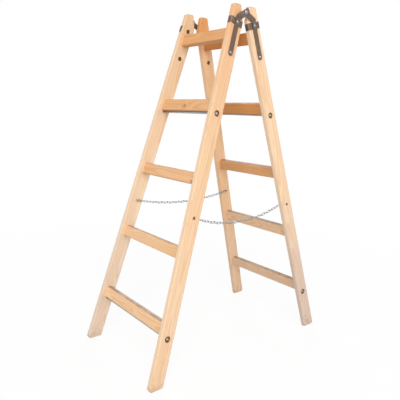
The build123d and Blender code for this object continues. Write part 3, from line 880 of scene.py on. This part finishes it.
def pine(name, pale, late, blush, end, half_width, half_thickness, ring, knot_size, edge_glare_share):
    """Planed softwood with rings, knots and fibres, tanned by age, with handled arrises and scuffed feet.
    Painted light is in its colour too: a sheen on the fibres, paler narrow faces, and shade in the sinkings,
    at the stiles' upper ends, on the rear rungs, on upward faces and towards the floor.
    """
    paint = Paint(name)
    board = paint.attribute("board", "Vector")
    log = paint.attribute("log")
    across, through, along = paint.split(board)
    apart = paint.vector(*(log * shift for shift in LOG_SHIFT))
    elsewhere = paint.vector_math("ADD", board, apart)
    ragged = paint.noise(elsewhere, "ragged")
    knot, halo, depth, swerve = knots(paint, across, along, log, ragged, knot_size)
    latewood = growth_rings(paint, board, elsewhere, log, ring, swerve)
    # Fibres along the grain, resin flecks and blushes, and a painted sheen on some fibres
    fibre = paint.noise(elsewhere, "fibre")
    fleck = paint.step(paint.noise(elsewhere, "fleck"), *FLECK)
    colour = paint.mix(paint.step(paint.noise(elsewhere, "tone"), *BLUSH), pale, blush)
    colour = paint.mix(latewood * (LATE_SHARE + fibre * LATE_FIBRE_SHARE), colour, late)
    colour = paint.mix(paint.step(paint.noise(elsewhere, "streak"), *STREAK), colour, blush)
    colour = paint.mix(fleck * FLECK_SHARE, colour, late)
    # Painted sheen on some fibres
    colour = paint.mix(paint.step(fibre, *PAINTED_SHEEN), colour, WHITE)
    # Age, which differs from board to board and with the height, with painted shade at the stiles' upper ends
    # and on the rear rungs
    places = paint.places()
    height = paint.split(places)[2]
    tan_and_shade = paint.attribute("tan") + paint.step(height, *TOP_RISE) * paint.attribute("top")
    # Painted shade at the stiles' upper ends
    tan_and_shade = tan_and_shade + paint.step(height, *END_RISE) * paint.attribute("tan_and_shade")
    # Painted highlight on the stiles' narrow faces
    colour = paint.mix(paint.step(paint.attribute("narrow"), *EDGE_TURN, edge_glare_share), colour, EDGE_GLARE)
    colour = paint.stain(tan_and_shade, colour, TAN_AND_SHADE)
    colour = paint.stain(paint.attribute("warm"), colour, WARM)
    # Dust and painted shade grey the boards towards the floor
    colour = paint.mix(paint.attribute("dust") * paint.step(height, *DUST_AND_SHADE_RISE), colour, DUST_AND_SHADE)
    colour = paint.mix(halo * HALO_SHARE, colour, KNOT_HALO)
    colour = paint.mix(depth, colour, KNOT)
    # End grain drinks more finish
    cut = paint.step(paint.attribute("end"), *END_TURN)
    colour = paint.mix(cut * END_SHARE, colour, end)
    # Painted shade in the sinkings of the nuts
    colour = paint.mix(paint.attribute("sunk") * SINKING_SHADE_SHARE, colour, SINKING_SHADE)
    # Handled arrises, scuffed feet, and upward faces darkened as painted shade with patchy tread dirt
    grub = paint.noise(places, "grub")
    arris = near_edge(paint, half_width, across) * near_edge(paint, half_thickness, through)
    arris = arris * paint.step(grub, *ARRIS_GRUB)
    foot = paint.step(height, *FOOT_RISE) * paint.step(grub, *FOOT_GRUB)
    top_shade_and_dirt = TREAD_SHADE_SHARE + paint.step(grub, *TREAD_GRUB)
    top_shade_and_dirt = paint.step(paint.attribute("tread"), *TREAD_TURN) * top_shade_and_dirt
    colour = paint.mix(arris * ARRIS_SHARE + foot * FOOT_SHARE, colour, GRIME)
    colour = paint.mix(top_shade_and_dirt, colour, TREAD_SHADE_AND_GRIME)
    rough = paint.weigh(WOOD_ROUGH, late=latewood, fibre=fibre, end=cut)
    relief = paint.weigh(WOOD_RELIEF, fibre=fibre, late=latewood, fleck=fleck, knot=knot)
    normal = paint.bump(relief, *WOOD_BUMP)
    return paint.finish(Base_Color=colour, Roughness=rough, Normal=normal, Specular_IOR_Level=WOOD_SHINE)


# Steel finishes
def dark_steel(name):
    """Dark coated strap steel: worn thin along its faces, with a little rust. Its edges and collar bends are
    painted light as wear with a painted glint, its inner faces browner as painted shade and a painted
    reflection of the wood.
    """
    paint = Paint(name)
    places = paint.places()
    cloud = paint.noise(places, "cloud")
    speck = paint.noise(places, "speck")
    scratch = paint.noise(places, "scratch")
    thin = paint.step(cloud * BARE_MIX[0] + speck * BARE_MIX[1], *BARE)
    bare = paint.math("MAXIMUM", thin, paint.step(scratch, *SCRATCH))
    rust = paint.step(paint.noise(places, "rust"), *RUST_TONE)
    # Edges and collar bends: bare wear with a painted glint
    edge = paint.attribute("worn_and_glint") * paint.step(cloud, *WORN_AND_GLINT_TONE)
    # Inner faces: painted shade and a painted reflection of the wood
    inside = paint.attribute("inside") * (INSIDE_SHARE + cloud * INSIDE_CLOUD_SHARE)
    colour = paint.mix(bare, STRAP_PAINT, STRAP_BARE)
    colour = paint.mix(rust * RUST_SHARE, colour, STRAP_RUST)
    colour = paint.mix(edge * WORN_AND_GLINT_SHARE, colour, STRAP_EDGE_WEAR_AND_GLINT)
    colour = paint.mix(inside, colour, STRAP_INSIDE_SHADE)
    rough = paint.weigh(STRAP_ROUGH, cloud=cloud, bare=bare, rust=rust, edge=edge)
    metal = paint.weigh(STRAP_METAL, bare=bare, rust=rust)
    relief = paint.weigh(STRAP_RELIEF, speck=speck, rust=rust, scratch=scratch)
    normal = paint.bump(relief, *STRAP_BUMP)
    return paint.finish(Base_Color=colour, Metallic=metal, Roughness=rough, Normal=normal)


def zinc(name, bright, dull):
    """Zinc-plated steel, clouded where it has dulled."""
    paint = Paint(name)
    places = paint.places()
    dulled = paint.step(paint.noise(places, "dull"), *DULL_TONE)
    grit = paint.noise(places, "grit")
    colour = paint.mix(dulled * DULL_SHARE, bright, dull)
    rough = paint.weigh(ZINC_ROUGH, dull=dulled, grit=grit)
    normal = paint.bump(grit, *ZINC_BUMP)
    return paint.finish(Base_Color=colour, Metallic=1.0, Roughness=rough, Normal=normal)


STILE_PINE = pine("stile_pine", **STILE_WOOD)
RUNG_PINE = pine("rung_pine", **RUNG_WOOD)
STRAP_STEEL = dark_steel("strap_steel")
STEELS = {name: zinc(f"{name}_steel", *colours) for name, colours in PLATED.items()}


# Forms that repeat
def bolt_form():
    """A domed head on a shank that is threaded at its end. The head's underside is at z 0."""
    form = Shape("domed_bolt", Head=float, Rise=float, Shank=float, Length=float, Threaded=float)
    head, rise, shank, length, threaded = form.sizes
    radius = shank / 2
    lead = radius * TIP_EASE
    from_thread = threaded - length
    profile = form.join(
        form.dome(head, rise),
        form.line((head / 2, 0.0), (radius, 0.0), (radius, from_thread)),
        form.thread(radius, lead - length, from_thread, shank * THREAD_PITCH),
        form.line((radius, lead - length), (radius - lead, -1 * length), (0.0, -1 * length)),
    )
    return form.place(form.turn(profile))


def rivet_form():
    """A domed head, a plain shank and an upset tail. The head's underside is at z 0."""
    form = Shape("pivot_rivet", Head=float, Rise=float, Shank=float, Length=float, Tail=float, Upset=float)
    head, rise, shank, length, tail, upset = form.sizes
    radius = shank / 2
    rim = tail / 2
    shoulder = upset - length
    profile = form.join(
        form.dome(head, rise),
        form.line((head / 2, 0.0), (radius, 0.0), (radius, shoulder), (rim, shoulder)),
        form.line(
            (rim, shoulder),
            (rim, shoulder - upset * TAIL_WALL),
            (rim * TAIL_CROWN, upset * TAIL_TIP - length),
            (0.0, -1 * length),
        ),
    )
    return form.place(form.turn(profile))


def nut_form():
    """A hexagonal nut with chamfered corners. Its seat is at z 0."""
    form = Shape("hex_nut", Flats=float, Height=float, Hole=float)
    flats, height, hole = form.sizes
    corner = flats / 2 / cos(pi / NUT_SIDES)
    face = flats / 2 * NUT_FACE
    clear = corner * NUT_CLEAR
    drop = (clear - face) * tan(NUT_CHAMFER)
    prism = form.cylinder(corner, NUT_SIDES, height * NUT_BLANK)
    prism = form.moved(prism, by=form.vector(0.0, 0.0, height / 2))
    eased = form.line(
        (0.0, 0.0), (face, 0.0), (clear, drop), (clear, height - drop), (face, height), (0.0, height)
    )
    drill = form.cylinder(hole / 2, TURNED_SIDES, height * NUT_DRILL)
    return form.place(form.cut(form.common(prism, form.turn(eased)), drill))


def washer_form():
    """A flat ring with eased edges. Its seat is at z 0."""
    form = Shape("washer", Width=float, Hole=float, Thickness=float)
    width, hole, top = form.sizes
    outside = width / 2
    inside = hole / 2
    ease = top * WASHER_EASE
    profile = form.line(
        (inside, 0.0), (outside - ease, 0.0), (outside, ease), (outside, top - ease), (outside - ease, top),
        (inside + ease, top), (inside, top - ease), (inside, 0.0),
    )
    return form.place(form.turn(profile))


def rod_form():
    """A straight rod threaded at both ends, from z 0."""
    form = Shape("tie_rod", Width=float, Length=float, Threaded=float)
    width, length, thread = form.sizes
    radius = width / 2
    lead = radius * ROD_EASE
    pitch = width * THREAD_PITCH
    profile = form.join(
        form.line((0.0, 0.0), (radius - lead, 0.0), (radius, lead)),
        form.thread(radius, lead, thread, pitch),
        form.line((radius, thread), (radius, length - thread)),
        form.thread(radius, length - thread, length - lead, pitch),
        form.line((radius, length - lead), (radius - lead, length), (0.0, length)),
    )
    return form.place(form.turn(profile))


def eye_form():
    """An eye bolt: a ring of round wire with a threaded shank, up along z from the ring's middle."""
    form = Shape("eye_bolt", Eye=float, Wire=float, Shank=float, Length=float)
    eye, wire, shank, length = form.sizes
    radius = shank / 2
    ring = form.sweep(form.circle(eye / 2, TURNED_SIDES), form.circle(wire / 2, WIRE_SIDES))
    ring = form.moved(ring, turn=(0.0, pi / 2, 0.0))
    neck = eye / 2
    from_thread = neck + wire
    lead = radius * TIP_EASE
    profile = form.join(
        form.line((0.0, neck), (radius, neck), (radius, from_thread)),
        form.thread(radius, from_thread, length - lead, shank * THREAD_PITCH),
        form.line((radius, length - lead), (radius - lead, length), (0.0, length)),
    )
    return form.place(form.join(ring, form.turn(profile)))


def chain_form():
    """Welded links along an arc through three points, every second one turned on edge."""
    ends = {"Start": tuple, "Middle": tuple, "End": tuple}
    form = Shape("chain", **ends, Links=int, Length=float, Width=float, Wire=float)
    *spots, links, full_length, full_width, wire = form.sizes
    length = full_length - wire
    width = full_width - wire
    outline = form.node("GeometryNodeCurvePrimitiveQuadrilateral", None, {"Width": length, "Height": width})
    sockets = {"Curve": outline, "Radius": width / 2, "Limit Radius": True, "Count": LINK_BEND_STEPS}
    outline = form.node("GeometryNodeFilletCurve", {"mode": "POLY"}, sockets)
    link = form.sweep(outline, form.circle(wire / 2, WIRE_SIDES))
    sockets = {"Resolution": links, **dict(zip(ends, spots))}
    path = form.node("GeometryNodeCurveArc", {"mode": "POINTS"}, sockets)
    number = form.node("GeometryNodeInputIndex")
    to_end = form.math("MINIMUM", number, links - 1 - number) / LINK_TWIST
    # The node's sockets for plain numbers are its 2, 3 and, going out, 1
    sockets = {2: -LINK_WOBBLE, 3: LINK_WOBBLE, "Seed": SEED}
    wobble = form.node("FunctionNodeRandomValue", None, sockets, out=1)
    settled = form.math("MINIMUM", to_end, 1.0)
    roll = (number + 1) % 2 * (pi / 2) + settled * (LINK_LIE + wobble)
    across = form.vector(form.math("SINE", roll), 0.0, form.math("COSINE", roll))
    turned = form.turned("X", form.node("GeometryNodeInputTangent"), "Z", across)
    tilt = form.vector(((number % 2) * 2 - 1) * settled * LINK_TILT, 0.0, 0.0)
    sockets = {"Rotation": turned, "Rotate By": tilt}
    turned = form.node("FunctionNodeRotateRotation", {"rotation_space": "GLOBAL"}, sockets)
    return form.close(path, link, turned)


# The boards
dice = random.Random(SEED)
for ladder in LADDERS:
    facings = {"eye": outward, "tie_rod": outward, "strap": partial(stile_facing, ladder)}
    sunk = []
    for kind, facing in facings.items():
        sunk += [(middle_of(corners), facing(corners)) for corners in islands(f"{ladder}_{kind}_nuts")]
    for hand, side in HANDS.items():
        node = f"{ladder}_{hand}_stile"
        sinkings = [(place, axis) for place, axis in sunk if axis.x * side > 0]
        tones = STILE_TONES[f"{ladder}_{hand}"]
        wooden(node, f"{node}_board", STILE_PINE, dice.uniform(0, LOG_NUMBERS), sinkings, **tones)
    for number, depth in enumerate(RUNG_TAN_AND_SHADE[ladder], start=1):
        node = f"{ladder}_rung_{number}"
        log = dice.uniform(0, LOG_NUMBERS)
        wooden(node, f"{node}_bar", RUNG_PINE, log, tan=depth, dust=RUNG_DUST_AND_SHADE[ladder])

# Straps and collars
for ladder in LADDERS:
    for hand in HANDS:
        node = f"{ladder}_{hand}_hinge_strap"
        bent_steel(node, f"{node}_steel", STRAP_STEEL)
        node = f"{ladder}_{hand}_collar"
        bent_steel(node, f"{node}_steel", STRAP_STEEL, stile_axes(ladder, hand)[2])

# Fasteners
BOLT, NUT, WASHER, ROD, EYE = bolt_form(), nut_form(), washer_form(), rod_form(), eye_form()
RIVET = rivet_form()
FLATS = cos(pi / NUT_SIDES)  # a nut's width across flats, over its width across corners
ACROSS = cos(pi / SOLID_SIDES)  # the same for the solids that stand for round ones


def random_turn():
    return dice.uniform(0, 2 * pi)


def seats_of(node, facing=outward):
    return [Seat(corners, facing(corners)) for corners in islands(node)]


def put_set(node, mesh):
    """A set of fasteners, named after its node."""
    put(f"{node.removesuffix('s')}_set", mesh, node)


def nut_set(node, material, hole, facing=outward):
    seats = seats_of(node, facing)
    points = [seat.point(turn=random_turn()) for seat in seats]
    sizes = {"Flats": seats[0].width * FLATS, "Height": seats[0].length, "Hole": hole}
    put_set(node, NUT.mesh(points, material, **sizes))


def washer_set(node, material, hole):
    seats = seats_of(node)
    points = [seat.point() for seat in seats]
    sizes = {"Width": seats[0].width, "Hole": hole, "Thickness": seats[0].length}
    put_set(node, WASHER.mesh(points, material, **sizes))


def strap_bolt_set(node, facing):
    """Bolts of two lengths, with bright heads and rusty ends."""
    seats = seats_of(node, facing)
    sizes = {"Head": seats[0].width * ACROSS, "Rise": BOLT_RISE, "Shank": BOLT_SHANK, "Threaded": BOLT_THREAD}
    parts = []
    for seat in seats:
        length = seat.length - BOLT_RISE
        mesh = BOLT.mesh([seat.point(length, random_turn())], STEELS["head"], Length=length, **sizes)
        mesh.materials.append(STEELS["rusty"])
        for face in mesh.polygons:
            face.material_index = int((face.center - seat.foot).dot(seat.axis) < BOLT_THREAD)
        parts.append(mesh)
    bm = bmesh.new()
    for mesh in parts:
        bm.from_mesh(mesh)
    bm.to_mesh(parts[0])
    bm.free()
    put_set(node, parts[0])


def eye_bolt_set(node, ladder):
    """Eye bolts whose rings lie square to the way up their ladder."""
    seats = seats_of(node)
    along = stile_axes(ladder, "left")[2]
    up = Vector((0, along.y, along.z)).normalized()
    reach = (EYE_WIDTH + EYE_WIRE) / 2
    points = [(*seat.point(reach)[:2], up) for seat in seats]
    sizes = {"Eye": EYE_WIDTH, "Wire": EYE_WIRE, "Shank": EYE_SHANK, "Length": seats[0].length - reach}
    put_set(node, EYE.mesh(points, STEELS["golden"], **sizes))


def rivet_set(node):
    seats = seats_of(node)
    length = seats[0].length - RIVET_RISE
    points = [seat.point(length) for seat in seats]
    head = {"Head": RIVET_HEAD, "Rise": RIVET_RISE}
    rest = {"Shank": RIVET_SHANK, "Length": length, "Tail": RIVET_TAIL, "Upset": RIVET_UPSET}
    put_set(node, RIVET.mesh(points, STEELS["head"], **head, **rest))


for ladder in LADDERS:
    off_stile = partial(stile_facing, ladder)
    strap_bolt_set(f"{ladder}_strap_bolts", off_stile)
    nut_set(f"{ladder}_strap_nuts", STEELS["rusty"], BOLT_NUT_HOLE, lambda corners: -off_stile(corners))
    for level in ("lower", "upper"):
        node = f"{ladder}_{level}_tie_rod"
        seat = Seat(islands(node)[0], Vector((1, 0, 0)))
        sizes = {"Width": ROD_WIDTH, "Length": seat.length, "Threaded": ROD_THREAD}
        put(f"{node}_bar", ROD.mesh([seat.point()], STEELS["zinc"], **sizes), node)
    washer_set(f"{ladder}_tie_rod_washers", STEELS["golden"], ROD_WASHER_HOLE)
    nut_set(f"{ladder}_tie_rod_nuts", STEELS["golden"], ROD_NUT_HOLE)
    eye_bolt_set(f"{ladder}_eye_bolts", ladder)
    nut_set(f"{ladder}_eye_nuts", STEELS["golden"], EYE_NUT_HOLE)

rivet_set("pivot_rivets")
washer_set("pivot_washers", STEELS["zinc"], RIVET_WASHER_HOLE)

# Spreader chains
CHAIN = chain_form()
for hand in HANDS:
    node = f"{hand}_chain"
    links = sorted(islands(node), key=lambda corners: middle_of(corners).y)
    middles = [middle_of(corners) for corners in links]
    centre = len(links) // 2
    low, high = box_of(links[centre])
    sizes = sorted(high - low)
    mesh = CHAIN.mesh(
        [(middles[0], Vector((0, 0, 1)), Vector((1, 0, 0)))],
        STEELS["chain"],
        Start=tuple(middles[0]),
        Middle=tuple(middles[centre]),
        End=tuple(middles[-1]),
        Links=len(links),
        Length=sizes[2] - LINK_SLIM,
        Width=sizes[1] - LINK_SLIM,
        Wire=sizes[0] - LINK_SLIM,
    )
    piece = put(f"{node}_links", mesh)
    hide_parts(node)
    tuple(middles[0])
    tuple(middles[-1])
    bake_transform(piece)


# Floor, light and camera
def floor():
    """A floor that keeps the object's shadow and goes over into the white of the background."""
    paint = Paint("floor")
    seen = paint.seen()
    far = paint.node("ShaderNodeVectorMath", {"operation": "LENGTH"}, {0: paint.places()}, out="Value")
    lift = FLOOR_GLOW + paint.step(far, *FLOOR_FADE) * (1 - FLOOR_GLOW)
    tint = paint.mix(seen, FLOOR_BOUNCE, FLOOR_SEEN)
    matte = paint.node("ShaderNodeBsdfDiffuse", None, {"Color": tint})
    glow = paint.node("ShaderNodeEmission", None, {"Color": (*WHITE, 1.0), "Strength": 1.0})
    lifted = paint.node("ShaderNodeMixShader", None, {0: seen * lift, 1: matte, 2: glow})
    paint.node("ShaderNodeOutputMaterial", None, {"Surface": lifted})
    half = FLOOR_SIZE / 2
    corners = [(-half, -half, 0), (half, -half, 0), (half, half, 0), (-half, half, 0)]
    mesh = bpy.data.meshes.new("floor")
    mesh.from_pydata(corners, [], [(0, 1, 2, 3)])
    mesh.materials.append(paint.material)
    add("floor", mesh)


def sky():
    """A plain light from all sides, which the camera sees as white."""
    world = bpy.data.worlds.new("studio")
    world.use_nodes = True
    world.node_tree.nodes.clear()
    tree = Tree(world.node_tree)
    strength = SKY + tree.seen() * (1 - SKY)
    light = tree.node("ShaderNodeBackground", None, {"Color": (*WHITE, 1.0), "Strength": strength})
    tree.node("ShaderNodeOutputWorld", None, {"Surface": light})
    bpy.context.scene.world = world


def lamp(name, turn, rise, size, power):
    light = bpy.data.lights.new(name, "AREA")
    light.size = size
    light.energy = power
    holder = add(name, light)
    away = Vector((cos(rise) * cos(turn), cos(rise) * sin(turn), sin(rise)))
    holder.location = (cad_box[0] + cad_box[1]) / 2 + away * LAMP_DISTANCE
    holder.rotation_euler = away.to_track_quat("Z", "Y").to_euler()


def camera():
    lens = bpy.data.cameras.new("camera")
    lens.sensor_width = SENSOR
    lens.lens = FOCAL_LENGTH / PHOTO_SIDE * SENSOR
    level_share = cos(CAMERA_PITCH)
    ahead = Vector((sin(CAMERA_YAW) * level_share, cos(CAMERA_YAW) * level_share, sin(CAMERA_PITCH)))
    level = ahead.cross(Vector((0, 0, 1))).normalized()
    upright = level.cross(ahead)
    right = level * cos(CAMERA_ROLL) + upright * sin(CAMERA_ROLL)
    top = upright * cos(CAMERA_ROLL) - level * sin(CAMERA_ROLL)
    turn = Matrix((right, top, -ahead)).transposed()
    holder = add("camera", lens)
    holder.matrix_world = Matrix.Translation(CAMERA_PLACE) @ turn.to_4x4()
    bpy.context.scene.camera = holder


floor()
sky()
for name, settings in LAMPS.items():
    lamp(name, **settings)
camera()
bpy.context.scene.view_settings.view_transform = "Standard"
